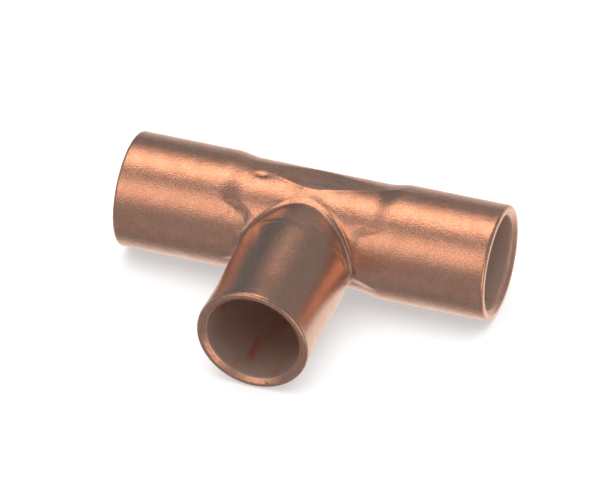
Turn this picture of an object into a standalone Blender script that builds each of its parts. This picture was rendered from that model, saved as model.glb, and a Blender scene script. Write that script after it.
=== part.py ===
"""Equal solder tee for 6.35 mm (1/4 in) outside-diameter copper tube.

The fitting is one piece of copper tube: a straight run with a cup at each end, and a branch that
is bulged out of the run's wall and opened into a third cup.  It lies flat: the run is along X, the
branch points to -Y, and +Z is up.  The origin is on the floor, under the middle of the fitting's box.
"""

import math

import bmesh
import bpy
from mathutils import Matrix, Vector

MM = 0.001

# Driving dimensions, in millimetres
CUP_BORE = 6.45            # the 6.35 mm tube plus room for the solder
CUP_OUTER = 7.85
RUN_LENGTH = 26.0          # over both run ends
BRANCH_REACH = 12.8        # run axis to branch end
CUP_DEPTH = 6.6            # mouth to tube stop
RUN_NECK_OUTER = 7.42      # the tube as it was drawn, between the two run cups
RUN_NECK_BORE = 6.02
BRANCH_ROOT_OUTER = 6.28   # the branch where it leaves the run, narrow as the press left it
BRANCH_ROOT_BORE = 5.10
BRANCH_NECK_BORE = 6.16    # just behind the tube stop

# Lengths along the axes, in millimetres from the run axis or from the middle of the run
RUN_STEP_START = 4.0       # neck ends here
RUN_STEP_END = 5.7         # full cup from here
BRANCH_CONE_START = 1.4    # the root widens evenly from here
BRANCH_CONE_END = 5.0      # full cup from here
BRANCH_BORE_CONE_END = 4.2
BRANCH_FLARE_START = 10.3
STOP_LENGTH = 0.9          # length of the step from cup bore to neck bore

# The branch cup is a little slimmer than the run cups and opens again at its mouth
BRANCH_CUP_BACK_OUTER = 7.72
BRANCH_CUP_WAIST_OUTER = 7.60
BRANCH_MOUTH_OUTER = 7.76

EDGE_ROUND = 0.22          # outside edge of each mouth
MOUTH_CHAMFER = 0.24       # inside edge of each mouth
FILLET_TOP = 0.40          # root fillet over the top and the bottom of the branch
FILLET_SIDE = 0.65         # root fillet in the two crotches

# Facets
OUTER_SIDES = 64
BORE_SIDES = 48
STEP_POINTS = 5
ROUND_POINTS = 3
FILLET_STATIONS = 64
FILLET_POINTS = 6
CENTRE_ROUNDS = 20         # steps taken to find where the fillet's ball lies

# Allowances for clean cuts
FILLET_SINK = 0.01         # the fillet's edges lie this far under the two walls
FILLET_DEPTH = 0.15        # the fillet's inner corners lie this far under the two walls
CUTTER_OVERRUN = 0.5       # the bore cutters stand this far out of the mouths
MERGE = 1e-7               # metres

COPPER = (0.95, 0.62, 0.50, 1.0)
COPPER_ROUGHNESS = 0.30

AXIS_HEIGHT = CUP_OUTER / 2
RUN_AXIS_Y = (BRANCH_REACH - CUP_OUTER / 2) / 2


def clear_scene():
    for old in list(bpy.data.objects):
        bpy.data.objects.remove(old, do_unlink=True)


def new_collection(name):
    collection = bpy.data.collections.new(name)
    bpy.context.scene.collection.children.link(collection)
    return collection


def copper():
    material = bpy.data.materials.new("copper")
    material.use_nodes = True
    shader = material.node_tree.nodes["Principled BSDF"]
    shader.inputs["Base Color"].default_value = COPPER
    shader.inputs["Metallic"].default_value = 1.0
    shader.inputs["Roughness"].default_value = COPPER_ROUGHNESS
    return material


def soft_step(start, end):
    """Points (along, radius) of an S-shaped change of radius, from start to end, ends included."""
    points = []
    for i in range(STEP_POINTS + 1):
        t = i / STEP_POINTS
        blend = t * t * (3 - 2 * t)
        points.append((start[0] + (end[0] - start[0]) * t, start[1] + (end[1] - start[1]) * blend))
    return points


def round_edge(along, radius, size):
    """Points of a quarter round, from the end face at along to the outside wall of radius."""
    points = []
    for i in range(ROUND_POINTS + 1):
        angle = math.pi / 2 * i / ROUND_POINTS
        points.append((along - size + size * math.cos(angle), radius - size + size * math.sin(angle)))
    return points


def both_ends(half):
    """A half profile, from an end to the middle, followed by its mirror image."""
    return half + [(-along, radius) for along, radius in reversed(half)]


def run_outline():
    end = RUN_LENGTH / 2
    half = [(end, 0.0)]
    half += round_edge(end, CUP_OUTER / 2, EDGE_ROUND)
    half += soft_step((RUN_STEP_END, CUP_OUTER / 2), (RUN_STEP_START, RUN_NECK_OUTER / 2))
    return both_ends(half)


def branch_outline():
    outline = [(BRANCH_REACH, 0.0)]
    outline += round_edge(BRANCH_REACH, BRANCH_MOUTH_OUTER / 2, EDGE_ROUND)
    outline += soft_step((BRANCH_REACH - 2 * EDGE_ROUND, BRANCH_MOUTH_OUTER / 2),
                         (BRANCH_FLARE_START, BRANCH_CUP_WAIST_OUTER / 2))
    outline += [(BRANCH_CONE_END, BRANCH_CUP_BACK_OUTER / 2),
                (BRANCH_CONE_START, BRANCH_ROOT_OUTER / 2),
                (0.0, BRANCH_ROOT_OUTER / 2),
                (0.0, 0.0)]
    return outline


def mouth_cut(end):
    """The bore cutter's outline from outside the mouth, in over the chamfer, to the tube stop."""
    bore = CUP_BORE / 2
    return [(end + CUTTER_OVERRUN, 0.0),
            (end + CUTTER_OVERRUN, bore + MOUTH_CHAMFER + CUTTER_OVERRUN),
            (end - MOUTH_CHAMFER, bore),
            (end - CUP_DEPTH, bore)]


def run_bore_outline():
    end = RUN_LENGTH / 2
    half = mouth_cut(end) + [(end - CUP_DEPTH - STOP_LENGTH, RUN_NECK_BORE / 2)]
    return both_ends(half)


def branch_bore_outline():
    neck = BRANCH_NECK_BORE / 2
    root = BRANCH_ROOT_BORE / 2
    return mouth_cut(BRANCH_REACH) + [(BRANCH_REACH - CUP_DEPTH - STOP_LENGTH, neck),
                                      (BRANCH_BORE_CONE_END, neck),
                                      (BRANCH_CONE_START, root),
                                      (0.0, root),
                                      (0.0, 0.0)]


def turned(name, outline, sides, collection):
    """A solid of revolution about local Z; the outline runs top to bottom as (along, radius)."""
    mesh = bpy.data.meshes.new(name)
    vertices = [(radius * MM, 0.0, along * MM) for along, radius in outline]
    edges = [(i, i + 1) for i in range(len(vertices) - 1)]
    mesh.from_pydata(vertices, edges, [])
    solid = bpy.data.objects.new(name, mesh)
    collection.objects.link(solid)
    screw = solid.modifiers.new("turn", "SCREW")
    screw.axis = "Z"
    screw.angle = 2 * math.pi
    screw.steps = sides
    screw.render_steps = sides
    screw.use_merge_vertices = True
    screw.merge_threshold = MERGE
    screw.use_smooth_shade = True
    return solid


def fillet_section(angle):
    """One closed section of the root fillet, at an angle around the branch axis.

    The arc is part of a ball that touches both walls.  The three inner corners lie in the metal.
    Coordinates are about the point where the two axes meet.
    """
    side = math.cos(angle) ** 2
    ball = FILLET_TOP + (FILLET_SIDE - FILLET_TOP) * side
    widening = (BRANCH_CUP_BACK_OUTER - BRANCH_ROOT_OUTER) / 2 / (BRANCH_CONE_END - BRANCH_CONE_START)
    lean = math.atan(widening)
    from_run = RUN_NECK_OUTER / 2 - FILLET_SINK + ball
    along = BRANCH_CONE_START
    for _ in range(CENTRE_ROUNDS):
        wall = BRANCH_ROOT_OUTER / 2 + widening * (along - BRANCH_CONE_START)
        from_branch = wall + (ball - FILLET_SINK) / math.cos(lean)
        along = math.sqrt(from_run ** 2 - (from_branch * math.sin(angle)) ** 2)
    centre = Vector((from_branch * math.cos(angle), -along, from_branch * math.sin(angle)))
    run_normal = Vector((0.0, centre.y, centre.z)).normalized()
    branch_normal = Vector((math.cos(angle), math.tan(lean), math.sin(angle))).normalized()

    section = [centre - run_normal * (ball + FILLET_DEPTH)]
    for i in range(FILLET_POINTS + 1):
        normal = run_normal.slerp(branch_normal, i / FILLET_POINTS)
        section.append(centre - normal * ball)
    section.append(centre - branch_normal * (ball + FILLET_DEPTH))
    corner = (run_normal + branch_normal) * (ball + FILLET_DEPTH) / (1 + run_normal.dot(branch_normal))
    section.append(centre - corner)
    return section


def fillet_ring(collection):
    """The ring of metal that rounds the root of the branch, lofted through its sections."""
    ring = bmesh.new()
    loops = []
    for k in range(FILLET_STATIONS):
        section = fillet_section(2 * math.pi * k / FILLET_STATIONS)
        loops.append([ring.verts.new(point * MM) for point in section])
    for k, loop in enumerate(loops):
        following = loops[(k + 1) % FILLET_STATIONS]
        for i in range(len(loop)):
            j = (i + 1) % len(loop)
            ring.faces.new((loop[i], loop[j], following[j], following[i]))
    bmesh.ops.recalc_face_normals(ring, faces=ring.faces)
    mesh = bpy.data.meshes.new("root_fillet")
    ring.to_mesh(mesh)
    ring.free()
    solid = bpy.data.objects.new("root_fillet", mesh)
    collection.objects.link(solid)
    return solid


def as_guide(solid):
    solid.hide_render = True
    solid.display_type = "WIRE"


def combine(target, other, operation):
    cut = target.modifiers.new(other.name, "BOOLEAN")
    cut.operation = operation
    cut.solver = "EXACT"
    cut.object = other


def tee():
    clear_scene()
    parts = new_collection("tee_fitting")
    cutters = new_collection("cutters")

    along_x = Matrix.Rotation(math.pi / 2, 4, "Y")
    along_minus_y = Matrix.Rotation(math.pi / 2, 4, "X")
    place = Matrix.Translation(Vector((0.0, RUN_AXIS_Y, AXIS_HEIGHT)) * MM)

    body = turned("tee_body", run_outline(), OUTER_SIDES, parts)
    body.matrix_world = place @ along_x
    branch = turned("branch", branch_outline(), OUTER_SIDES, cutters)
    branch.matrix_world = place @ along_minus_y
    fillet = fillet_ring(cutters)
    fillet.matrix_world = place
    run_bore = turned("run_bore", run_bore_outline(), BORE_SIDES, cutters)
    run_bore.matrix_world = place @ along_x
    branch_bore = turned("branch_bore", branch_bore_outline(), BORE_SIDES, cutters)
    branch_bore.matrix_world = place @ along_minus_y

    combine(body, branch, "UNION")
    combine(body, fillet, "UNION")
    combine(body, run_bore, "DIFFERENCE")
    combine(body, branch_bore, "DIFFERENCE")
    for guide in (branch, fillet, run_bore, branch_bore):
        as_guide(guide)
    body.data.materials.append(copper())


if __name__ == "__main__":
    tee()
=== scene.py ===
"""The looks of the solder tee: its fine surface, its satin copper, a plain studio and the camera.

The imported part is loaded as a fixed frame.  One piece, the copper tee, stands for the CAD body.
Its walls are quad grids: a turned shell for each cup, a strip along the back of the run, and a
saddle where the branch leaves the run.  Lengths in the code are millimetres until a mesh is made.
"""

import logging
import math
from dataclasses import dataclass, field
from enum import Enum
from typing import Callable, Sequence, Union

import bmesh
import bpy
import numpy as np
from mathutils import Matrix, Vector


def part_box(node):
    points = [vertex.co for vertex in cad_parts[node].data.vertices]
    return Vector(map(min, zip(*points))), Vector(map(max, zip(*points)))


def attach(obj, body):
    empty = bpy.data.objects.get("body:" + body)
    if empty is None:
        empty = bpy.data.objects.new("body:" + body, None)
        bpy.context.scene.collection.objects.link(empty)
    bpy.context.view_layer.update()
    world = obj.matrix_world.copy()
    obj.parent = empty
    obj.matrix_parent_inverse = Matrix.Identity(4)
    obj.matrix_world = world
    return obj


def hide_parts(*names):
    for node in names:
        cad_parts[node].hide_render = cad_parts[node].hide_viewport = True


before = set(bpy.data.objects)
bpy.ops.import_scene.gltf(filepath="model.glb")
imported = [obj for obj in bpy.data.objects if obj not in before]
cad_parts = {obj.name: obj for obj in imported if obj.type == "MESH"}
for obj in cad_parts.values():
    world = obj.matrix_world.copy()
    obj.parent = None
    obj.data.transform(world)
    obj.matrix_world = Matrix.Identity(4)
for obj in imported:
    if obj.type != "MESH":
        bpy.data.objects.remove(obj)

LOG = logging.getLogger("tee")
MM = 0.001
NODE = "tee_body"
BORE_SHARE = "bore_share"
WELD = 3e-8                # metres; the grids' shared edges agree far better than this
NEVER_ZERO = 1e-9          # keeps a divisor off zero
SHARP = 1e-6               # the narrowest blend, which is as good as a sharp corner
PROBE = 1e-4               # how far apart heights are compared for a slope

Array = np.ndarray


def smooth(t: Array) -> Array:
    """Eases 0 to 1 with no slope at either end."""
    t = np.clip(t, 0.0, 1.0)
    return t * t * (3.0 - 2.0 * t)


def about_branch(radius: Array, along: Array, around: Array) -> Array:
    """Gives points at a radius, a distance and an angle about the branch's axis."""
    along = along * np.ones_like(around)
    return np.stack([radius * np.cos(around), -along, radius * np.sin(around)], axis=-1)


class Wall(Enum):
    """Which side of the metal a surface is."""

    OUTER = "outer"
    BORE = "bore"


class Mark(Enum):
    """Which way a mark moves the metal along its push."""

    DENT = -1.0
    BUMP = 1.0


# ---------------------------------------------------------------- geometry of the walls


@dataclass(frozen=True)
class Outline:
    """Radius of a turned wall along its axis: a curve through its knots that never overshoots.

    Attributes:
        knots: pairs (along, radius), in order of along.
    """

    knots: tuple[tuple[float, float], ...]

    def slopes(self) -> list[float]:
        """Gives the slope at each knot, level at both ends and at each peak or dip.

        Returns:
            The slopes.
        """
        rises = [(r1 - r0) / (a1 - a0) for (a0, r0), (a1, r1) in zip(self.knots, self.knots[1:])]
        inner = [2.0 * before * after / (before + after) if before * after > 0.0 else 0.0
                 for before, after in zip(rises, rises[1:])]
        return [0.0, *inner, 0.0]

    def at(self, along: Array) -> Array:
        """Gives the radius at each place along the axis.

        Args:
            along: distances from the middle of the tee.

        Returns:
            The radii, in the same shape.
        """
        along = np.asarray(along, float)
        radius = np.full(along.shape, self.knots[0][1])
        slopes = self.slopes()
        for i, ((a0, r0), (a1, r1)) in enumerate(zip(self.knots, self.knots[1:])):
            gap = a1 - a0
            t = np.clip((along - a0) / gap, 0.0, 1.0)
            ends = r0 + (r1 - r0) * smooth(t)
            bend = gap * (slopes[i] * t * (1.0 - t) ** 2 - slopes[i + 1] * t * t * (1.0 - t))
            radius = np.where(along >= a0, ends + bend, radius)
        return radius


@dataclass(frozen=True)
class LocalMark:
    """A dent or bump left in the metal by the press or by handling.

    Attributes:
        kind: dent or bump.
        place: its middle, about the crossing of the axes.
        reach: its half lengths along X, Y and Z.
        out: the direction that faces out of the metal there.
        height: how deep or how high it is.
    """

    kind: Mark
    place: tuple[float, float, float]
    reach: tuple[float, float, float]
    out: tuple[float, float, float]
    height: float

    def press(self, points: Array) -> Array:
        """Moves the points that the mark reaches.

        Args:
            points: places about the crossing of the axes, in rows of three.

        Returns:
            The same points, moved.
        """
        offset = (points - np.array(self.place)) / np.array(self.reach)
        share = self.kind.value * self.height * np.exp(-np.sum(offset ** 2, axis=-1))
        return points + share[..., None] * np.array(self.out)


@dataclass(frozen=True)
class Flat:
    """The flat that the press leaves over and under the run, with the fine line along its edge.

    Attributes:
        facing: which way it faces, in degrees around the run from the branch's side.
        half: its half width at the middle of the run, in degrees around the run.
        reach: how far along the run it goes.
        apex: how far from the middle of the run its edge is rounded over.
        softness: how much its edge is rounded.
        line: how high the fine line stands.
        line_width: half the line's width.
        line_fade: where the line starts to fade, and where it ends.
        least_cosine: limits how far out the flat's plane is followed, away from the flat.
    """

    facing: float = 100.0
    half: float = 24.0
    reach: float = 4.9
    apex: float = 0.5
    softness: float = 0.03
    line: float = 0.028
    line_width: float = 0.06
    line_fade: tuple[float, float] = (6.5, 10.0)
    least_cosine: float = 0.2

    def cut(self, x: Array, y: Array, z: Array, radius: Array) -> Array:
        """Lowers the run's radius where the flat is, and raises the line.

        Args:
            x: distances along the run.
            y: distances across it, towards its back.
            z: heights over its axis.
            radius: the round radius at each place.

        Returns:
            The radius with the flat and the line.
        """
        gap = math.radians(self.facing) - np.arctan2(np.abs(z), -y)
        share = np.clip(1.0 - np.hypot(x, self.apex) / self.reach, 0.0, 1.0)
        edge = math.radians(self.half) * share
        level = radius * np.cos(edge) / np.maximum(np.cos(gap), self.least_cosine)
        blend = np.maximum(self.softness - np.abs(radius - level), 0.0) / self.softness
        flat = np.minimum(radius, level) - blend * blend * self.softness / 4.0 * (share > 0.0)
        start, end = self.line_fade
        fade = 1.0 - smooth((np.abs(x) - start) / (end - start))
        return flat + self.line * fade * np.exp(-(radius * (gap - edge) / self.line_width) ** 2)


@dataclass(frozen=True)
class Bead:
    """The bead along the crease, with the groove on its run side.

    Attributes:
        height: how high the bead is at the right of the branch.
        groove: how deep the groove is there.
        width: half the width of either.
        gap: from the crease to the groove's middle.
        left: how much of both is left over at the left of the branch.
        facing: the angle about the branch's axis where both are strongest.
    """

    height: float = 0.05
    groove: float = 0.06
    width: float = 0.13
    gap: float = 0.30
    left: float = 0.08
    facing: float = 0.3

    def lift(self, around: Array, outward: Array) -> Array:
        """Gives how far the wall moves outwards.

        Args:
            around: angles about the branch's axis, from +X towards +Z.
            outward: distances from the crease, positive on the run's side.

        Returns:
            The moves.
        """
        toward = 0.5 + 0.5 * np.cos(around - self.facing)
        side = self.left + (1.0 - self.left) * toward ** 2
        bead = self.height * np.exp(-(outward / self.width) ** 2)
        return side * (bead - self.groove * np.exp(-((outward - self.gap) / self.width) ** 2))


@dataclass(frozen=True)
class TeeWall:
    """One wall of the tee: a run tube and a branch tube, joined over a rounded crease.

    Attributes:
        run: outline of the run, by distance from its middle.
        branch: outline of the branch, by distance from the run's axis.
        round_top: radius of the crease over the top and bottom of the branch.
        round_left: radius of the crease in the left crotch.
        round_right: radius of the crease in the right crotch.
        lean: how much farther out the run's steps are at their farthest than at their nearest.
        lean_way: the side of the run, across it and up, where they are farthest out.
        swell: how much farther in they are beside the branch's root.
        swell_way: the side where they are farthest in.
        swell_edge: the cosines, from swell_way, between which the swell comes in.
        flat: the flat over and under the run.
        bead: the bead along the crease, if there is one.
    """

    run: Outline
    branch: Outline
    round_top: float
    round_left: float
    round_right: float
    lean: float = 0.0
    lean_way: tuple[float, float] = (0.62, 0.78)
    swell: float = 0.0
    swell_way: tuple[float, float] = (-0.97, 0.26)
    swell_edge: tuple[float, float] = (0.80, 0.97)
    flat: Flat = Flat()
    bead: Bead | None = None

    def run_radius(self, x: Array, y: Array, z: Array) -> Array:
        """Gives the run's radius at each place, with leaning steps and the flat.

        Args:
            x: distances along the run.
            y: distances across it, towards its back.
            z: heights over its axis.

        Returns:
            The radii.
        """
        away = np.maximum(np.hypot(y, z), NEVER_ZERO)
        back = 0.5 + 0.5 * (self.lean_way[0] * y + self.lean_way[1] * z) / away
        toward = (self.swell_way[1] * z + self.swell_way[0] * y) / away
        low, high = self.swell_edge
        front = smooth((toward - low) / (high - low))
        along = np.abs(x) - self.lean * back + self.swell * front
        return self.flat.cut(x, y, z, self.run.at(along))

    def around_run(self, x: Array, turn: Array) -> Array:
        """Gives points of the run's wall at angles around it, from the branch's side upwards.

        Args:
            x: distances along the run.
            turn: angles around it.

        Returns:
            The points, about the crossing of the axes.
        """
        x, turn = np.broadcast_arrays(x, turn)
        radius = self.run_radius(x, -np.cos(turn), np.sin(turn))
        return np.stack([x, -radius * np.cos(turn), radius * np.sin(turn)], axis=-1)

    def crease_round(self, points: Array) -> Array:
        """Gives how strongly the two tubes are blended at each point.

        Args:
            points: places about the crossing of the axes, in rows of three.

        Returns:
            The blend's width, so that the crease has the radius of a ball of the stated size.
        """
        around = np.arctan2(points[..., 2], points[..., 0])
        side = np.cos(around) ** 2
        crotch = np.where(points[..., 0] < 0.0, self.round_left, self.round_right)
        ball = self.round_top + (crotch - self.round_top) * side
        a, b = self.run.at(np.array(0.0)), self.branch.at(np.array(0.0))
        meeting = np.clip(np.sin(around) ** 2 * b / a, -1.0, 1.0)
        half = np.arccos(meeting) / 2.0
        return 4.0 * ball * (1.0 / np.cos(half) - 1.0)

    def height(self, points: Array) -> Array:
        """Gives each point's height over the wall, negative on the axis side.

        Args:
            points: places about the crossing of the axes, in rows of three.

        Returns:
            The heights.
        """
        x, y, z = points[..., 0], points[..., 1], points[..., 2]
        over_run = np.hypot(y, z) - self.run_radius(x, y, z)
        behind = 2.0 * np.maximum(y, 0.0)      # ends the branch behind the run's axis
        over_branch = np.sqrt(x * x + z * z + behind ** 2) - self.branch.at(-y)
        width = np.maximum(self.crease_round(points), SHARP)
        share = np.maximum(width - np.abs(over_run - over_branch), 0.0) / width
        level = np.minimum(over_run, over_branch) - share * share * width / 4.0
        if self.bead:
            level = level - self.bead.lift(np.arctan2(z, x), over_branch - over_run)
        return level

    def slope(self, points: Array) -> Array:
        """Gives the gradient of height at each point.

        Args:
            points: places about the crossing of the axes, in rows of three.

        Returns:
            The gradients, in rows of three.
        """
        parts = []
        for step in np.eye(3) * PROBE:
            rise = self.height(points + step) - self.height(points - step)
            parts.append(rise / (2.0 * PROBE))
        return np.stack(parts, axis=-1)

    def settle(self, points: Array, rounds: int = 8) -> Array:
        """Moves points along the slope until they lie on the wall.

        Args:
            points: places near the wall.
            rounds: how many Newton steps to take.

        Returns:
            The same points, on the wall.
        """
        for _ in range(rounds):
            slope = self.slope(points)
            length = np.maximum(np.sum(slope ** 2, axis=-1, keepdims=True), NEVER_ZERO)
            points = points - slope * self.height(points)[..., None] / length
        return points

    def crease(self, around: Array, rounds: int = 30) -> tuple[Array, Array]:
        """Finds where the two tubes meet.

        Args:
            around: angles about the branch's axis, from +X towards +Z.
            rounds: how many times to correct the first guess.

        Returns:
            Distances from the branch's axis, and distances along it from the run's axis.
        """
        away = np.full(around.shape, self.branch.knots[0][1])
        along = np.full(around.shape, 1.0)
        for _ in range(rounds):
            x, z = away * np.cos(around), away * np.sin(around)
            along = np.sqrt(np.maximum(self.run_radius(x, -along, z) ** 2 - z ** 2, 0.0))
            away = 0.5 * away + 0.5 * self.branch.at(along)
        return away, along


class Quilt:
    """Grids of points sewn into one mesh."""

    def __init__(self) -> None:
        """Starts with no grids."""
        self.points: list[Array] = []
        self.quads: list[Array] = []
        self.count = 0

    def sew(self, grid: Array, closed: bool = False) -> None:
        """Adds a grid of points as quads.

        Args:
            grid: points in rows and columns, shape (rows, columns, 3).
            closed: whether the last column meets the first.
        """
        rows, columns = grid.shape[:2]
        index = self.count + np.arange(rows * columns).reshape(rows, columns)
        if closed:
            index = np.concatenate([index, index[:, :1]], axis=1)
        corners = [index[:-1, :-1], index[:-1, 1:], index[1:, 1:], index[1:, :-1]]
        self.quads.append(np.stack(corners, axis=-1).reshape(-1, 4))
        self.points.append(grid.reshape(-1, 3))
        self.count += rows * columns

    def to_object(self, name: str, move: Callable[[Array], Array]) -> bpy.types.Object:
        """Makes the mesh, welds the grids' shared edges and faces it outwards.

        Args:
            name: the object's name.
            move: takes the points to their place, in metres.

        Returns:
            The new object, in the scene's collection.
        """
        points = move(np.concatenate(self.points))
        quads = np.concatenate(self.quads)
        mesh = bpy.data.meshes.new(name)
        mesh.from_pydata(points.tolist(), [], quads.tolist())
        work = bmesh.new()
        work.from_mesh(mesh)
        bmesh.ops.remove_doubles(work, verts=work.verts, dist=WELD)
        bmesh.ops.recalc_face_normals(work, faces=work.faces)
        loose = sum(1 for edge in work.edges if not edge.is_manifold)
        work.to_mesh(mesh)
        work.free()
        mesh.shade_smooth()
        LOG.info("%s: %d faces, %d open edges", name, len(mesh.polygons), loose)
        piece = bpy.data.objects.new(name, mesh)
        bpy.context.scene.collection.objects.link(piece)
        return piece


# ---------------------------------------------------------------- the tee


@dataclass
class TeeBody:
    """The copper tee: one closed skin of outer wall, three mouths and bores.

    Sizes are radii, lengths and distances in millimetres.  Distances along the run are from its
    middle, and along the branch from the run's axis.

    Attributes:
        low: lowest corner of the CAD body, in metres.
        high: highest corner of the CAD body, in metres.
        cup_bore: inside of each cup.
        mouth_outer: outside of the branch at its mouth.
        cup_depth: from a mouth to the tube stop.
        stop_length: length of the step from the cup's bore to the neck's.
        run_neck: outside of the run between its cups.
        run_neck_bore: inside of the run there.
        branch_neck: outside of the branch where it has nearly widened to the cup.
        root_bore: inside of the branch at its root.
        branch_neck_bore: inside of the branch behind the tube stop.
        run_step: where the run's steps start and end.
        root_along: where the branch starts to widen.
        root_outer: outside of the branch at its root.
        root_flare: how much farther, and how much wider, the widening gets steeper.
        branch_neck_along: where branch_neck is.
        neck_ring: knots of the fine ring there, as (farther, wider) than the neck.
        branch_back_along: where the branch's cup starts.
        branch_back: outside of the cup there.
        branch_waist: outside of the cup where it is slimmest.
        waist_along: where that is.
        edge_round: radius of each mouth's outer edge.
        bevel: width of each mouth's inner bevel.
        bevel_angle: how far the bevel leans into the bore, in degrees.
        saddle_half: where along the run the saddle ends.
        saddle_end: where along the branch the saddle ends.
        around: columns of quads around the run.
        across: columns of quads across the saddle.
        saddle_rows: rows of quads on either side of the crease.
        bunching: how strongly they crowd towards the crease.
        mouth_rows: rows over a mouth, enough to show the lathe's rings.
        step_rows: rows over a step of the run.
        run_cup_rows: rows along a cup of the run.
        branch_cup_rows: rows along the branch's cup.
        bore_rows: rows along a cup's bore.
        run_stop_rows: rows from the tube stop to the saddle, in the run.
        branch_stop_rows: the same in the branch.
        tool_pitch: from one of the lathe's rings to the next.
        tool_depth: how deep they are.
        step_lean: how much farther out the run's steps are on one side than on the other.
        step_swell: how much farther in they are beside the branch's root.
        share_blend: how gradually the outside's finish turns into the bore's.
        share_middle: how much of the bore's finish there is halfway between the two walls.
        share_fade: how gradually the bore's finish starts at a mouth.
        share_start: where it starts, in depths of the bevel.
        name: the piece's name.
    """

    low: Vector
    high: Vector
    cup_bore: float = 3.225
    mouth_outer: float = 3.88
    cup_depth: float = 6.6
    stop_length: float = 0.9
    run_neck: float = 3.71
    run_neck_bore: float = 3.01
    branch_neck: float = 3.76
    root_bore: float = 2.55
    branch_neck_bore: float = 3.08
    run_step: tuple[float, float] = (3.9, 5.6)
    root_along: float = 1.4
    root_outer: float = 3.14
    root_flare: tuple[float, float] = (0.8, 0.14)
    branch_neck_along: float = 4.2
    neck_ring: tuple[tuple[float, float], ...] = ((0.16, 0.040), (0.32, 0.032))
    branch_back_along: float = 5.0
    branch_back: float = 3.86
    branch_waist: float = 3.80
    waist_along: float = 10.3
    edge_round: float = 0.24
    bevel: float = 0.30
    bevel_angle: float = 40.0
    saddle_half: float = 5.1
    saddle_end: float = 4.9
    around: int = 208
    across: int = 120
    saddle_rows: int = 60
    bunching: float = 2.2
    mouth_rows: int = 54
    step_rows: int = 20
    run_cup_rows: int = 40
    branch_cup_rows: int = 44
    bore_rows: int = 24
    run_stop_rows: int = 12
    branch_stop_rows: int = 14
    tool_pitch: float = 0.09
    tool_depth: float = 0.006
    step_lean: float = 0.6
    step_swell: float = 1.3
    share_blend: float = 0.2
    share_middle: float = 0.2
    share_fade: float = 0.1
    share_start: float = 0.8
    name: str = "copper_tee"

    def __post_init__(self) -> None:
        """Works the main sizes out from the CAD body's box, in millimetres."""
        self.run_reach = self.high.x / MM
        self.cup_outer = (self.high.z - self.low.z) / MM / 2.0
        self.axis_y = self.high.y / MM - self.cup_outer
        self.branch_reach = self.axis_y - self.low.y / MM
        self.bevel_depth = self.bevel * math.tan(math.radians(self.bevel_angle))
        self.walls = {Wall.OUTER: self.outer_wall(), Wall.BORE: self.bore_wall()}

    def outer_wall(self) -> TeeWall:
        """Describes the outside of the metal."""
        run = Outline(((0.0, self.run_neck), (self.run_step[0], self.run_neck),
                       (self.run_step[1], self.cup_outer)))
        root = (self.root_along, self.root_outer)
        flare = (root[0] + self.root_flare[0], root[1] + self.root_flare[1])
        neck = (self.branch_neck_along, self.branch_neck)
        ring = [(neck[0] + along, neck[1] + radius) for along, radius in self.neck_ring]
        branch = Outline(((0.0, self.root_outer), root, flare, neck, *ring,
                          (self.branch_back_along, self.branch_back),
                          (self.waist_along, self.branch_waist),
                          (self.branch_reach - self.edge_round, self.mouth_outer)))
        return TeeWall(run, branch, round_top=0.45, round_left=0.75, round_right=0.5,
                       lean=self.step_lean, swell=self.step_swell, bead=Bead())

    def bore_wall(self) -> TeeWall:
        """Describes the inside of the metal."""
        stops = (self.run_reach - self.cup_depth, self.branch_reach - self.cup_depth)
        run = Outline(((0.0, self.run_neck_bore), (stops[0] - self.stop_length, self.run_neck_bore),
                       (stops[0], self.cup_bore)))
        branch = Outline(((0.0, self.root_bore), (self.root_along, self.root_bore),
                          (self.branch_neck_along, self.branch_neck_bore),
                          (stops[1] - self.stop_length, self.branch_neck_bore),
                          (stops[1], self.cup_bore)))
        return TeeWall(run, branch, round_top=0.3, round_left=0.4, round_right=0.4,
                       flat=Flat(line=0.0))

    def marks(self) -> list[LocalMark]:
        """Lists the dents of the press and of handling."""
        neck, lip = self.run_neck, self.branch_reach
        shoulder = LocalMark(Mark.BUMP, (0.0, -1.0, 3.5), (0.8, 1.1, 2.0), (0.0, -0.28, 0.96), 0.10)
        right = LocalMark(Mark.DENT, (2.85, -2.0, -3.1), (1.1, 1.5, 1.1), (0.0, -0.55, -0.83), 0.20)
        left = LocalMark(Mark.DENT, (-3.7, -2.3, -2.9), (1.2, 1.6, 1.6), (0.0, -0.62, -0.78), 0.10)
        pucker = LocalMark(Mark.BUMP, (-3.85, -3.2, 1.75), (0.24, 0.55, 0.5),
                           (-0.2, -0.84, 0.5), 0.09)
        nick = LocalMark(Mark.DENT, (-4.85, -3.0, 2.2), (0.14, 0.3, 0.35), (0.0, -0.8, 0.6), 0.05)
        dimple = LocalMark(Mark.DENT, (-0.96 * neck, -0.09 * neck, neck), (0.40, 0.24, 0.3),
                           (0.0, 0.0, 1.0), 0.09)
        fold = LocalMark(Mark.DENT, (-1.4, -1.35, 3.45), (0.55, 0.8, 0.6), (-0.3, -0.33, 0.9), 0.06)
        pit = LocalMark(Mark.DENT, (0.92, -lip, -3.42), (0.13, 0.2, 0.13), (0.0, -1.0, 0.0), 0.06)
        return [shoulder, right, left, pucker, nick, dimple, fold, pit]

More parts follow.
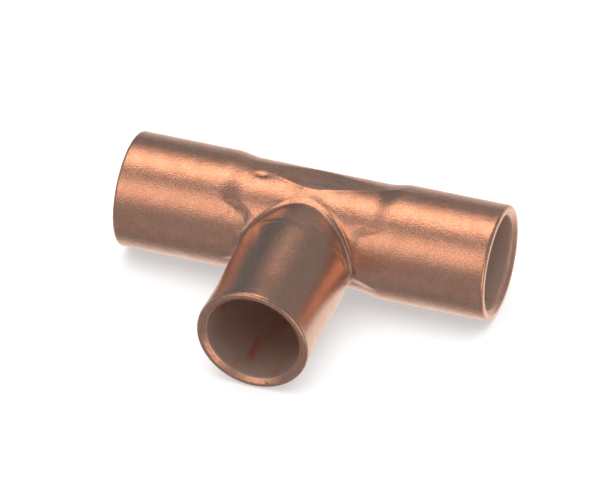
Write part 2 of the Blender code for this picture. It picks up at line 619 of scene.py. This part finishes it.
    def mouth(self, reach: float, outside: float) -> list[tuple[float, float]]:
        """Rows (along, radius) over a mouth: rounded edge, turned end face, bevel into the bore.

        Args:
            reach: where the end face is.
            outside: the outer radius at the mouth.

        Returns:
            The rows, from the outer wall to the bore, with the lathe's fine rings.
        """
        bevel = math.radians(self.bevel_angle)
        arc = self.edge_round * math.pi / 2.0
        flat = outside - self.edge_round - self.cup_bore - self.bevel
        slant = self.bevel / math.cos(bevel)
        length = arc + flat + slant
        rows = []
        for gone in np.linspace(0.0, length, self.mouth_rows):
            turn, along, radius = 0.0, reach, outside - self.edge_round - max(gone - arc, 0.0)
            if gone < arc:
                turn = math.pi / 2.0 - gone / self.edge_round
                along = reach - self.edge_round * (1.0 - math.cos(turn))
                radius += self.edge_round * math.sin(turn)
            elif gone > arc + flat:
                turn, down = -bevel, gone - arc - flat
                along = reach - down * math.sin(bevel)
                radius = self.cup_bore + (slant - down) * math.cos(bevel)
            fade = math.sin(math.pi * gone / length) ** 0.5
            wave = 0.5 - 0.5 * math.cos(2.0 * math.pi * gone / self.tool_pitch)
            ring = self.tool_depth * fade * wave
            rows.append((along - ring * math.cos(turn), radius - ring * math.sin(turn)))
        return rows

    def shell(self, wall_rows: Sequence[float], bore_rows: Sequence[float], outer: Outline,
              bore: Outline, reach: float, outside: float) -> list[tuple[float, float]]:
        """All rows of a cup, from its outer wall over the mouth and back down its bore.

        Args:
            wall_rows: where the outer wall's rows are, along the axis.
            bore_rows: where the bore's rows are.
            outer: the outer wall's outline.
            bore: the bore's outline.
            reach: where the end face is.
            outside: the outer radius at the mouth.

        Returns:
            The rows (along, radius).
        """
        rows = [(along, float(outer.at(along))) for along in wall_rows]
        rows += self.mouth(reach, outside)
        rows += [(along, float(bore.at(along))) for along in bore_rows]
        return rows

    def run_side(self, sign: float) -> Array:
        """One end of the run, outside and inside.

        Args:
            sign: 1 for the right end, -1 for the left end.

        Returns:
            A grid of points, closed around.
        """
        step_end = self.run_step[1] + self.step_lean
        step = np.linspace(self.saddle_half, step_end, self.step_rows)
        cup = np.linspace(step_end, self.run_reach - self.edge_round, self.run_cup_rows)[1:-1]
        stop = self.run_reach - self.cup_depth
        inside = np.linspace(self.run_reach - self.bevel_depth, stop, self.bore_rows)[1:]
        narrowing = np.linspace(stop, self.saddle_half, self.run_stop_rows)[1:]
        rows = self.shell([*step, *cup], [*inside, *narrowing], self.walls[Wall.OUTER].run,
                          self.walls[Wall.BORE].run, self.run_reach, self.cup_outer)
        turn = np.arange(self.around) * 2.0 * math.pi / self.around
        along, radius = np.array(rows).T[:, :, None]
        across = np.ones_like(turn)
        grid = np.stack([sign * along * across, -radius * np.cos(turn), radius * np.sin(turn)],
                        axis=-1)
        outside = len(step) + len(cup)
        grid[:outside] = self.walls[Wall.OUTER].around_run(sign * along[:outside], turn)
        return grid

    def back_strip(self, wall: TeeWall) -> Array:
        """The back half of the run between the two cups' shells.

        Args:
            wall: the outer wall or the bore.

        Returns:
            A grid of points.
        """
        x = np.linspace(-self.saddle_half, self.saddle_half, self.across + 1)[None, :]
        turn = np.linspace(math.pi / 2.0, 1.5 * math.pi, self.around // 2 + 1)[:, None]
        return wall.around_run(x, turn)

    def rim(self) -> tuple[Array, Array]:
        """The saddle's outer rim on the run, as X and the angle around the run's axis.

        Returns:
            X, and the angle around the run's axis, of each point of the rim.
        """
        quarter, half = self.around // 4, self.around // 2
        side = np.linspace(-math.pi / 2.0, math.pi / 2.0, half + 1)
        top = np.linspace(self.saddle_half, -self.saddle_half, self.across + 1)
        x = np.concatenate([np.full(quarter, self.saddle_half), top[:-1],
                            np.full(half, -self.saddle_half), -top[:-1],
                            np.full(quarter, self.saddle_half)])
        turn = np.concatenate([side[quarter:-1], np.full(self.across, math.pi / 2.0),
                               side[::-1][:-1], np.full(self.across, -math.pi / 2.0),
                               side[:quarter]])
        return x, turn

    def stations(self) -> Array:
        """Angles about the branch's axis of the saddle's and the branch's columns."""
        count = self.around + 2 * self.across
        return np.arange(count) * 2.0 * math.pi / count

    def saddle(self, wall: TeeWall, end: float) -> Array:
        """The wall from the branch, over the crease, to the saddle's rim on the run.

        Args:
            wall: the outer wall or the bore.
            end: where the saddle meets the branch's shell.

        Returns:
            A grid of points, closed around.
        """
        around = self.stations()
        away, crease = wall.crease(around)
        x_rim, turn_rim = self.rim()
        x_crease, z_crease = away * np.cos(around), away * np.sin(around)
        turn_crease = np.arctan2(z_crease, crease)
        ease = np.expm1(np.linspace(0.0, self.bunching, self.saddle_rows))
        ease = ease / math.expm1(self.bunching)
        grid = []
        for share in ease[::-1]:
            along = crease + (end - crease) * share
            radius = wall.branch.at(along)
            grid.append(about_branch(radius, along, around))
        for share in ease[1:]:
            x = x_crease + (x_rim - x_crease) * share
            turn = turn_crease + (turn_rim - turn_crease) * share
            grid.append(wall.around_run(x, turn))
        points = np.stack(grid)
        points[1:-1] = wall.settle(points[1:-1])
        return points

    def branch_shell(self) -> Array:
        """The branch's cup, outside and inside, closed around."""
        lip = self.branch_reach - self.edge_round
        outside = np.linspace(self.saddle_end, lip, self.branch_cup_rows)[:-1]
        stop = self.branch_reach - self.cup_depth
        inside = np.linspace(self.branch_reach - self.bevel_depth, stop, self.bore_rows)[1:]
        narrowing = np.linspace(stop, self.saddle_end, self.branch_stop_rows)[1:]
        rows = self.shell(outside, [*inside, *narrowing], self.walls[Wall.OUTER].branch,
                          self.walls[Wall.BORE].branch, self.branch_reach, self.mouth_outer)
        around = self.stations()
        along, radius = np.array(rows).T[:, :, None]
        return about_branch(radius, along, around)

    def place(self, points: Array) -> Array:
        """Presses the marks in and takes the points to their place, in metres.

        Args:
            points: places about the crossing of the axes, in millimetres.

        Returns:
            The points in the frame, in metres.
        """
        for mark in self.marks():
            points = mark.press(points)
        return (points + self.crossing()) * MM

    def crossing(self) -> Array:
        """Gives where the two axes cross, in millimetres."""
        return np.array([0.0, self.axis_y, self.cup_outer])

    def tell_walls_apart(self, piece: bpy.types.Object) -> None:
        """Stores on each vertex how far it belongs to the bore, for the finish.

        Args:
            piece: the tee's mesh.
        """
        mesh = piece.data
        points = np.empty(len(mesh.vertices) * 3, np.float32)
        mesh.vertices.foreach_get("co", points)
        points = points.reshape(-1, 3).astype(float) / MM - self.crossing()
        gaps = {kind: np.abs(wall.height(points)) for kind, wall in self.walls.items()}
        inset = np.minimum(self.run_reach - np.abs(points[:, 0]), self.branch_reach + points[:, 1])
        nearer = gaps[Wall.OUTER] - gaps[Wall.BORE]
        share = np.clip(nearer / self.share_blend + self.share_middle, 0.0, 1.0)
        start = self.share_start * self.bevel_depth
        share *= np.clip((inset - start) / self.share_fade, 0.0, 1.0)
        attribute = mesh.attributes.new(BORE_SHARE, "FLOAT", "POINT")
        attribute.data.foreach_set("value", share.astype(np.float32))

    def build(self) -> bpy.types.Object:
        """Makes the tee's mesh, rides it on the root body and hides the CAD body.

        Returns:
            The tee, riding on the root body.
        """
        quilt = Quilt()
        for sign in (1.0, -1.0):
            quilt.sew(self.run_side(sign), closed=True)
        for wall in self.walls.values():
            quilt.sew(self.back_strip(wall))
            quilt.sew(self.saddle(wall, self.saddle_end), closed=True)
        quilt.sew(self.branch_shell(), closed=True)
        piece = quilt.to_object(self.name, self.place)
        self.tell_walls_apart(piece)
        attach(piece, "root")
        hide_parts(NODE)
        return piece


# ---------------------------------------------------------------- shader maths


Value = Union["Sock", float, int, tuple]


class Sock:
    """A shader socket whose operators add Math nodes."""

    def __init__(self, tree: bpy.types.NodeTree, socket: bpy.types.NodeSocket) -> None:
        """Keeps the node tree and the output socket."""
        self.tree = tree
        self.socket = socket

    def math(self, operation: str, *others: Value) -> "Sock":
        """Adds a Math node with this socket as its first input."""
        return add_node(self.tree, "ShaderNodeMath", {"operation": operation}, [self, *others])

    def __add__(self, other: Value) -> "Sock":
        """Adds."""
        return self.math("ADD", other)

    def __radd__(self, other: Value) -> "Sock":
        """Adds, with this on the right."""
        return self.math("ADD", other)

    def __sub__(self, other: Value) -> "Sock":
        """Subtracts."""
        return self.math("SUBTRACT", other)

    def __rsub__(self, other: Value) -> "Sock":
        """Subtracts this from other."""
        return add_node(self.tree, "ShaderNodeMath", {"operation": "SUBTRACT"}, [other, self])

    def __mul__(self, other: Value) -> "Sock":
        """Multiplies."""
        return self.math("MULTIPLY", other)

    def __rmul__(self, other: Value) -> "Sock":
        """Multiplies, with this on the right."""
        return self.math("MULTIPLY", other)

    def __truediv__(self, other: Value) -> "Sock":
        """Divides."""
        return self.math("DIVIDE", other)

    def ease(self, low: float, high: float, first: float = 0.0, last: float = 1.0) -> "Sock":
        """Maps low to high onto first to last, smoothly and clamped.

        Args:
            low: the value that gives first.
            high: the value that gives last.
            first: the result at low and before it.
            last: the result at high and past it.

        Returns:
            The result.
        """
        inputs = {"Value": self, "From Min": low, "From Max": high,
                  "To Min": first, "To Max": last}
        return add_node(self.tree, "ShaderNodeMapRange", {"interpolation_type": "SMOOTHSTEP"},
                        inputs)


def add_node(tree: bpy.types.NodeTree, kind: str, settings: dict | None = None,
             inputs: Union[dict, Sequence, None] = None, output: Union[int, str] = 0) -> Sock:
    """Adds a node, sets it up, then gives its sockets values or links.

    Args:
        tree: the node tree.
        kind: the node's type name.
        settings: properties such as a Math node's operation.
        inputs: socket names or places, with their values or links.
        output: which output to return.

    Returns:
        The chosen output.
    """
    node = tree.nodes.new(kind)
    for key, value in (settings or {}).items():
        setattr(node, key, value)
    pairs = inputs.items() if isinstance(inputs, dict) else enumerate(inputs or [])
    for key, value in pairs:
        if isinstance(value, Sock):
            tree.links.new(value.socket, node.inputs[key])
        else:
            node.inputs[key].default_value = value
    return Sock(tree, node.outputs[output])


def mix_colour(tree: bpy.types.NodeTree, share: Value, first: Value, second: Value) -> Sock:
    """Mixes two colours by share."""
    inputs = {0: share, 6: first, 7: second}
    return add_node(tree, "ShaderNodeMix", {"data_type": "RGBA"}, inputs, output=2)


def vector(tree: bpy.types.NodeTree, operation: str, *values: Value,
           output: Union[int, str] = 0) -> Sock:
    """Adds a Vector Math node."""
    return add_node(tree, "ShaderNodeVectorMath", {"operation": operation}, values, output)


def scaled(tree: bpy.types.NodeTree, direction: Value, level: Value) -> Sock:
    """Multiplies a vector or a colour by a number."""
    settings = {"operation": "SCALE"}
    return add_node(tree, "ShaderNodeVectorMath", settings, {0: direction, "Scale": level})


def split(tree: bpy.types.NodeTree, place: Sock) -> tuple[Sock, Sock, Sock]:
    """Gives a vector's X, Y and Z."""
    node = add_node(tree, "ShaderNodeSeparateXYZ", None, [place]).socket.node
    x, y, z = (Sock(tree, output) for output in node.outputs)
    return x, y, z


# ---------------------------------------------------------------- finish


@dataclass(frozen=True)
class DullBore:
    """The inside of the tube, browned by annealing, with a few streaks of painted reddish glints,
    which are painted reflections.

    Attributes:
        colour: the browned metal.
        painted_red_glint: the reddish colour of the painted reflection in the glint streaks.
        metal: how metallic the browned skin still is.
        roughness: of the browned metal.
        glint_roughness: of the painted glint streaks.
    """

    colour: tuple[float, float, float, float] = (0.66, 0.50, 0.42, 1.0)
    # painted reflection: the reddish colour of the glints painted inside the bore
    painted_red_glint: tuple[float, float, float, float] = (0.80, 0.28, 0.20, 1.0)
    metal: float = 0.72
    roughness: float = 0.48
    glint_roughness: float = 0.20


@dataclass(frozen=True)
class Layers:
    """The masks and noises that the finish is mixed from.

    Attributes:
        on_branch: 1 on the branch and 0 on the run.
        root: 1 at the root of the branch.
        in_bore: 1 inside the tube.
        grain: the finest relief of the satin skin.
        mottle: fine light and dark spots.
        hills: slow unevenness.
        strokes: short marks across the tube, left by the press.
        draws: long marks along the tube, left by the die.
        scratch: 1 in a scratch.
        painted_glint_streak: 1 in a streak of painted glint inside the tube.
    """

    on_branch: Sock
    root: Sock
    in_bore: Sock
    grain: Sock
    mottle: Sock
    hills: Sock
    strokes: Sock
    draws: Sock
    scratch: Sock
    painted_glint_streak: Sock


@dataclass(frozen=True)
class SatinCopper:
    """Bare drawn copper with a satin skin, a fine mottle, press strokes and handling scratches,
    with painted shade on the branch and painted reddish glints in the bores.

    Scales are in features per millimetre: about X, Y and Z, or along and around an unrolled tube.

    Attributes:
        crossing: where the two axes cross, in millimetres.
        tube: the run's outer radius, in millimetres.
        bore: the finish of the inside.
        colour: the metal's own colour.
        tarnish: its colour where it has browned a little.
        root: painted shade, a darker and duller colour painted over the branch, strongest at its
            root by the crease.
        dark: its colour in the fine mottle.
        roughness: the middle of its roughness.
        relief: height of the whole skin relief, in millimetres.
        root_band: where along Y, from the run's axis, the painted shade at the root starts and is
            full.
        branch_rise: how far under the run's outside the branch's finish starts and is full.
        branch_reach: how far along the run the branch's finish is full, and where it ends.
        apart: how far the branch's noises are taken from the run's.
        grain_scale: of the finest relief.
        mottle_scale: of the light and dark spots.
        hill_scale: of the slow unevenness.
        stroke_scale: of the press's marks.
        draw_scale: of the die's marks.
        painted_glint_scale: of the painted glint streaks inside the tube.
        scratch_scale: of the scratches.
        patch_scale: of the patches that have any scratches.
        turns: angle and offset of each direction of scratches.
    """

    crossing: tuple[float, float, float]
    tube: float
    bore: DullBore = DullBore()
    colour: tuple[float, float, float, float] = (0.95, 0.62, 0.50, 1.0)
    tarnish: tuple[float, float, float, float] = (0.89, 0.56, 0.44, 1.0)
    # painted shade: the darker, duller colour painted over the branch and its root
    root: tuple[float, float, float, float] = (0.68, 0.53, 0.46, 1.0)
    dark: tuple[float, float, float, float] = (0.66, 0.43, 0.34, 1.0)
    roughness: float = 0.17
    relief: float = 0.013
    root_band: tuple[float, float] = (-4.9, -3.7)
    branch_rise: tuple[float, float] = (0.17, 0.02)
    branch_reach: tuple[float, float] = (4.0, 4.2)
    apart: float = 9.0
    grain_scale: tuple[float, float, float] = (11.0, 11.0, 11.0)
    mottle_scale: tuple[float, float, float] = (6.0, 6.0, 6.0)
    hill_scale: tuple[float, float, float] = (1.1, 1.1, 1.1)
    stroke_scale: tuple[float, float, float] = (5.5, 1.8, 1.0)
    draw_scale: tuple[float, float, float] = (0.10, 9.0, 1.0)
    painted_glint_scale: tuple[float, float, float] = (0.16, 0.7, 1.0)
    scratch_scale: tuple[float, float, float] = (0.4, 9.0, 1.0)
    patch_scale: tuple[float, float, float] = (0.25, 0.25, 1.0)
    turns: tuple[tuple[float, float], ...] = ((0.5, 0.0), (-0.9, 31.0), (1.45, 67.0))

    def noise(self, tree: bpy.types.NodeTree, place: Sock, scale: tuple[float, float, float],
              detail: float = 2.0) -> Sock:
        """Adds a noise stretched along the axes.

        Args:
            tree: the node tree.
            place: coordinates in millimetres.
            scale: how many features there are in a millimetre along each axis.
            detail: how many finer octaves there are.

        Returns:
            The noise, about 0.5.
        """
        spread = vector(tree, "MULTIPLY", place, scale)
        return add_node(tree, "ShaderNodeTexNoise", None,
                        {"Vector": spread, "Scale": 1.0, "Detail": detail, "Roughness": 0.55})

    def wraps(self, tree: bpy.types.NodeTree, about: Sock) -> tuple[Sock, Sock]:
        """Unrolls the run and the branch.

        Args:
            tree: the node tree.
            about: coordinates about the crossing of the axes, in millimetres.

        Returns:
            Coordinates of (along, around, 0) in millimetres, and 1 on the branch but 0 on the run.
        """
        x, y, z = split(tree, about)
        away = (y * y + z * z).math("SQRT")
        start, full = self.branch_rise
        past_run = away.ease(self.tube - start, self.tube - full)
        on_branch = past_run * x.math("ABSOLUTE").ease(*self.branch_reach, 1.0, 0.0)
        run = add_node(tree, "ShaderNodeCombineXYZ", None,
                       [x, y.math("ARCTAN2", z) * self.tube, 0.0])
        branch = add_node(tree, "ShaderNodeCombineXYZ", None,
                          [y, x.math("ARCTAN2", z) * self.tube, self.apart])
        unrolled = add_node(tree, "ShaderNodeMix", {"data_type": "VECTOR"},
                            {0: on_branch, 4: run, 5: branch}, output=1)
        return unrolled, on_branch

    def scratches(self, tree: bpy.types.NodeTree, unrolled: Sock) -> Sock:
        """Builds sparse thin scratches in a few directions, 1 in a scratch.

        Args:
            tree: the node tree.
            unrolled: coordinates of (along, around, 0) in millimetres.

        Returns:
            The mask.
        """
        mask = None
        for turn, offset in self.turns:
            turned = add_node(tree, "ShaderNodeVectorRotate", {"rotation_type": "Z_AXIS"},
                              {"Vector": unrolled, "Angle": turn})
            shifted = vector(tree, "ADD", turned, (offset, offset, offset))
            thin = self.noise(tree, shifted, self.scratch_scale, 0.0).ease(0.77, 0.82)
            some = self.noise(tree, shifted, self.patch_scale, 0.0).ease(0.60, 0.72)
            line = thin * some
            mask = line if mask is None else mask.math("MAXIMUM", line)
        return mask

    def layers(self, tree: bpy.types.NodeTree) -> Layers:
        """Builds the masks and noises.

        Args:
            tree: the node tree.

        Returns:
            All of them.
        """
        place = add_node(tree, "ShaderNodeTexCoord", output="Object")
        about = vector(tree, "SUBTRACT", scaled(tree, place, 1.0 / MM), self.crossing)
        unrolled, on_branch = self.wraps(tree, about)
        in_bore = add_node(tree, "ShaderNodeAttribute", {"attribute_name": BORE_SHARE},
                           output="Fac")
        # painted reflection: noise streaks where reddish glints are painted into the bore's colour
        painted_red_glint = self.noise(tree, unrolled, self.painted_glint_scale, 1.0).ease(0.56, 0.78)
        return Layers(
            on_branch=on_branch,
            root=on_branch * split(tree, about)[1].ease(*self.root_band),
            in_bore=in_bore,
            grain=self.noise(tree, about, self.grain_scale),
            mottle=self.noise(tree, about, self.mottle_scale),
            hills=self.noise(tree, about, self.hill_scale, 1.0),
            strokes=self.noise(tree, unrolled, self.stroke_scale, 3.0),
            draws=self.noise(tree, unrolled, self.draw_scale),
            scratch=self.scratches(tree, unrolled) * (1.0 - in_bore),
            painted_glint_streak=painted_red_glint * in_bore)

    def base(self, tree: bpy.types.NodeTree, layers: Layers) -> Sock:
        """Builds the colour: browned patches, painted shade darkening the branch most at its root,
        the mottle, and the bores with their painted glints.

        Args:
            tree: the node tree.
            layers: the masks and noises.

        Returns:
            The colour.
        """
        tone = mix_colour(tree, layers.hills.ease(0.35, 0.7), self.colour, self.tarnish)
        # painted shade: the branch is painted darker and duller than the run, most at its root
        painted_branch_shade = layers.on_branch * 0.45 + layers.root * 0.40
        tone = mix_colour(tree, painted_branch_shade, tone, self.root)
        tone = mix_colour(tree, layers.mottle.ease(0.35, 0.65) * 0.38, tone, self.dark)
        # painted reflection: reddish glints painted into the bore's colour in streaks
        inside = mix_colour(tree, layers.painted_glint_streak, self.bore.colour, self.bore.painted_red_glint)
        return mix_colour(tree, layers.in_bore, tone, inside)

    def rough(self, layers: Layers) -> Sock:
        """Builds the roughness: rougher in scratches and at the root, duller in the bores.

        Args:
            layers: the masks and noises.

        Returns:
            The roughness.
        """
        uneven = (layers.grain - 0.5) * 0.22 + (layers.hills - 0.5) * 0.10
        outside = uneven + self.roughness + layers.scratch * 0.12 + layers.root * 0.12
        polish = self.bore.glint_roughness - self.bore.roughness
        inside = layers.painted_glint_streak * polish + self.bore.roughness
        return outside * (1.0 - layers.in_bore) + inside * layers.in_bore

    def height(self, layers: Layers) -> Sock:
        """Builds the skin's relief: press strokes mostly on the run, die marks on the branch.

        Args:
            layers: the masks and noises.

        Returns:
            The relief's height.
        """
        strokes = layers.strokes * (0.45 - layers.on_branch * 0.3)
        draws = layers.draws * (0.15 + layers.on_branch * 0.5)
        return layers.grain * 1.6 + strokes + draws + layers.hills * 1.2 - layers.scratch * 0.4

    def material(self) -> bpy.types.Material:
        """Builds the node material.

        Returns:
            The material.
        """
        material = bpy.data.materials.new("satin_copper")
        material.use_nodes = True
        tree = material.node_tree
        shader = tree.nodes["Principled BSDF"]
        layers = self.layers(tree)
        metal = 1.0 - layers.in_bore * (1.0 - self.bore.metal)
        bump = add_node(tree, "ShaderNodeBump", None,
                        {"Height": self.height(layers), "Distance": self.relief * MM,
                         "Strength": 1.0}, "Normal")
        for name, value in (("Base Color", self.base(tree, layers)), ("Metallic", metal),
                            ("Roughness", self.rough(layers)), ("Normal", bump)):
            tree.links.new(value.socket, shader.inputs[name])
        return material


# ---------------------------------------------------------------- studio


@dataclass(frozen=True)
class Panel:
    """A soft light panel, as seen from the tee.

    Attributes:
        azimuth: its direction in degrees, 0 towards -Y and 90 towards +X.
        elevation: its height in degrees.
        half_width: half its width, in degrees.
        half_height: half its height, in degrees.
        soft: how wide its soft edge is, in degrees.
        level: how bright it is; below 0 it is a dark flag.
        grazing: cosines between which it comes in, off to its sides.
    """

    azimuth: float
    elevation: float
    half_width: float
    half_height: float
    soft: float
    level: float
    grazing: tuple[float, float] = (0.05, 0.2)

    def axes(self) -> tuple[Vector, Vector, Vector]:
        """Gives the panel's direction, its right and its up.

        Returns:
            The three directions, each of length 1.
        """
        a, e = math.radians(self.azimuth), math.radians(self.elevation)
        out = Vector((math.sin(a) * math.cos(e), -math.cos(a) * math.cos(e), math.sin(e)))
        right = Vector((0.0, 0.0, 1.0)).cross(out).normalized()
        return out, right, out.cross(right)

    def glow(self, tree: bpy.types.NodeTree, ray: Sock) -> Sock:
        """Builds the panel's brightness in the direction ray.

        Args:
            tree: the node tree.
            ray: the direction that is looked in.

        Returns:
            The brightness.
        """
        out, right, up = self.axes()
        ahead = vector(tree, "DOT_PRODUCT", ray, tuple(out), output="Value")
        safe = ahead.math("MAXIMUM", self.grazing[0])
        mask = ahead.ease(*self.grazing)
        for axis, half in ((right, self.half_width), (up, self.half_height)):
            aside = vector(tree, "DOT_PRODUCT", ray, tuple(axis), output="Value")
            angle = (aside / safe).math("ABSOLUTE").math("ARCTANGENT") * (180.0 / math.pi)
            mask = mask * angle.ease(half - self.soft / 2.0, half + self.soft / 2.0, 1.0, 0.0)
        return mask * self.level


@dataclass
class Studio:
    """A plain pale floor, soft panels all round, and the camera.

    Attributes:
        centre: the middle of the tee's axes, in metres.
        radius: the cup's outer radius, in metres.
        azimuth: the camera's direction, in degrees, 0 towards -Y and 90 towards +X.
        elevation: the camera's height, in degrees.
        roll: how far the camera is turned about its own axis, in degrees.
        distance: how far away it is, in radii.
        lens: its focal length, in millimetres.
        sensor: the width of its sensor, in millimetres.
        sight: the nearest and the farthest that it sees, in metres.
        shift_right: how far to its right the tee sits off its axis, in radii.
        shift_up: how far up the tee sits off its axis, in radii.
        shade: the room where no panel is.
        lamp_tint: colour of the panels' light.
        sweep_tint: colour of the bright sweep behind and below.
        sweep_down: how far down, as a share of the ray, it starts and is full.
        sweep_back: the same towards +Y.
        backdrop: what the camera sees past the floor.
        floor_size: the floor's width, in metres.
        floor_grey: the floor's colour.
        floor_roughness: its roughness.
        floor_glow: how much light the floor adds of its own, to stay pale.
        lamp_height: height of the lamp over the floor, in metres.
        lamp_width: its diameter, in metres.
        lamp_power: its power, in watts.
        panels: the panels, which only reflections see.
    """

    centre: Vector
    radius: float
    azimuth: float = 19.635
    elevation: float = 38.779
    roll: float = -0.953
    distance: float = 133.67
    lens: float = 472.55
    sensor: float = 36.0
    sight: tuple[float, float] = (0.01, 10.0)
    shift_right: float = 0.2572
    shift_up: float = 0.2482
    shade: tuple[float, float, float] = (0.227, 0.21, 0.204)
    lamp_tint: tuple[float, float, float] = (1.0, 0.62, 0.40)
    sweep_tint: tuple[float, float, float] = (0.75, 0.66, 0.59)
    sweep_down: tuple[float, float] = (-0.3, 0.62)
    sweep_back: tuple[float, float] = (-0.3, 0.5)
    backdrop: tuple[float, float, float, float] = (0.95, 0.95, 0.95, 1.0)
    floor_size: float = 2.0
    floor_grey: tuple[float, float, float, float] = (0.55, 0.55, 0.55, 1.0)
    floor_roughness: float = 0.9
    floor_glow: float = 0.42
    lamp_height: float = 0.45
    lamp_width: float = 0.6
    lamp_power: float = 2.2
    panels: tuple[Panel, ...] = field(default_factory=lambda: (
        Panel(-26.0, 36.5, 24.0, 17.0, 26.0, 0.90),
        Panel(-139.0, 71.0, 22.0, 14.0, 20.0, 1.60),
        Panel(44.0, 2.0, 12.0, 26.0, 12.0, 0.95),
        Panel(-16.0, 0.0, 24.0, 24.0, 20.0, 0.06),
        Panel(-160.0, 38.0, 24.0, 7.0, 3.0, 0.03),
        Panel(-160.0, 30.5, 30.0, 1.0, 1.0, 0.35),
        Panel(-140.0, 20.0, 19.0, 24.0, 14.0, -0.12),
        Panel(-20.0, -38.0, 22.0, 14.0, 14.0, 0.07),
    ))

    def world(self) -> None:
        """Paints the room: shade, soft panels, and a bright sweep behind and below."""
        world = bpy.data.worlds.new("studio")
        bpy.context.scene.world = world
        world.use_nodes = True
        tree = world.node_tree
        background = tree.nodes["Background"]
        ray = vector(tree, "NORMALIZE", add_node(tree, "ShaderNodeTexCoord", output="Generated"))
        level = None
        for panel in self.panels:
            glow = panel.glow(tree, ray)
            level = glow if level is None else level + glow
        _, y, z = split(tree, ray)
        sweep = (z * -1.0).ease(*self.sweep_down) * y.ease(*self.sweep_back)
        lamps = scaled(tree, self.lamp_tint, level)
        light = vector(tree, "ADD", lamps, scaled(tree, self.sweep_tint, sweep))
        light = vector(tree, "ADD", light, self.shade)
        on_metal = add_node(tree, "ShaderNodeLightPath", output="Is Glossy Ray")
        shown = mix_colour(tree, on_metal, self.backdrop, light)
        tree.links.new(shown.socket, background.inputs["Color"])

    def floor(self) -> bpy.types.Object:
        """Lays the pale floor.

        Returns:
            The floor.
        """
        bpy.ops.mesh.primitive_plane_add(size=self.floor_size)
        floor = bpy.context.object
        floor.name = "floor"
        material = bpy.data.materials.new("floor_white")
        material.use_nodes = True
        shader = material.node_tree.nodes["Principled BSDF"]
        shader.inputs["Base Color"].default_value = self.floor_grey
        shader.inputs["Roughness"].default_value = self.floor_roughness
        shader.inputs["Specular IOR Level"].default_value = 0.0
        shader.inputs["Emission Color"].default_value = (1.0, 1.0, 1.0, 1.0)
        shader.inputs["Emission Strength"].default_value = self.floor_glow
        floor.data.materials.append(material)
        floor.visible_glossy = False
        return floor

    def lamp(self) -> bpy.types.Object:
        """Hangs a wide lamp over the floor.

        Returns:
            The lamp.
        """
        light = bpy.data.lights.new("ceiling", "AREA")
        light.shape = "DISK"
        light.size = self.lamp_width
        light.energy = self.lamp_power
        lamp = bpy.data.objects.new("ceiling", light)
        lamp.location = (0.0, 0.0, self.lamp_height)
        lamp.visible_glossy = False
        bpy.context.scene.collection.objects.link(lamp)
        return lamp

    def camera(self) -> bpy.types.Object:
        """Makes the camera and looks through it.

        Returns:
            The camera.
        """
        a, e = math.radians(self.azimuth), math.radians(self.elevation)
        back = Vector((math.sin(a) * math.cos(e), -math.cos(a) * math.cos(e), math.sin(e)))
        right = Vector((0.0, 0.0, 1.0)).cross(back).normalized()
        up = back.cross(right)
        turn = Matrix.Rotation(math.radians(self.roll), 3, back)
        right, up = turn @ right, turn @ up
        data = bpy.data.cameras.new("camera")
        data.lens = self.lens
        data.sensor_width = self.sensor
        data.clip_start, data.clip_end = self.sight
        camera = bpy.data.objects.new("camera", data)
        bpy.context.scene.collection.objects.link(camera)
        offset = back * self.distance - right * self.shift_right - up * self.shift_up
        spot = self.centre + offset * self.radius
        frame_axes = Matrix((right, up, back)).transposed().to_4x4()
        camera.matrix_world = Matrix.Translation(spot) @ frame_axes
        bpy.context.scene.camera = camera
        return camera

    def build(self) -> None:
        """Sets the whole studio up."""
        self.world()
        self.floor()
        self.lamp()
        self.camera()
        bpy.context.scene.view_settings.view_transform = "Standard"


def main() -> None:
    """Builds the tee, dresses it and sets the studio up."""
    logging.basicConfig(level=logging.INFO, format="%(name)s: %(message)s")
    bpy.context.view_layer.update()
    low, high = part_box(NODE)
    body = TeeBody(low, high)
    tee = body.build()
    crossing = tuple(float(value) for value in body.crossing())
    tee.data.materials.append(SatinCopper(crossing, body.cup_outer).material())
    LOG.info("built %s", tee.name)
    studio = Studio(Vector(crossing) * MM, body.cup_outer * MM)
    studio.build()


if __name__ == "__main__":
    main()
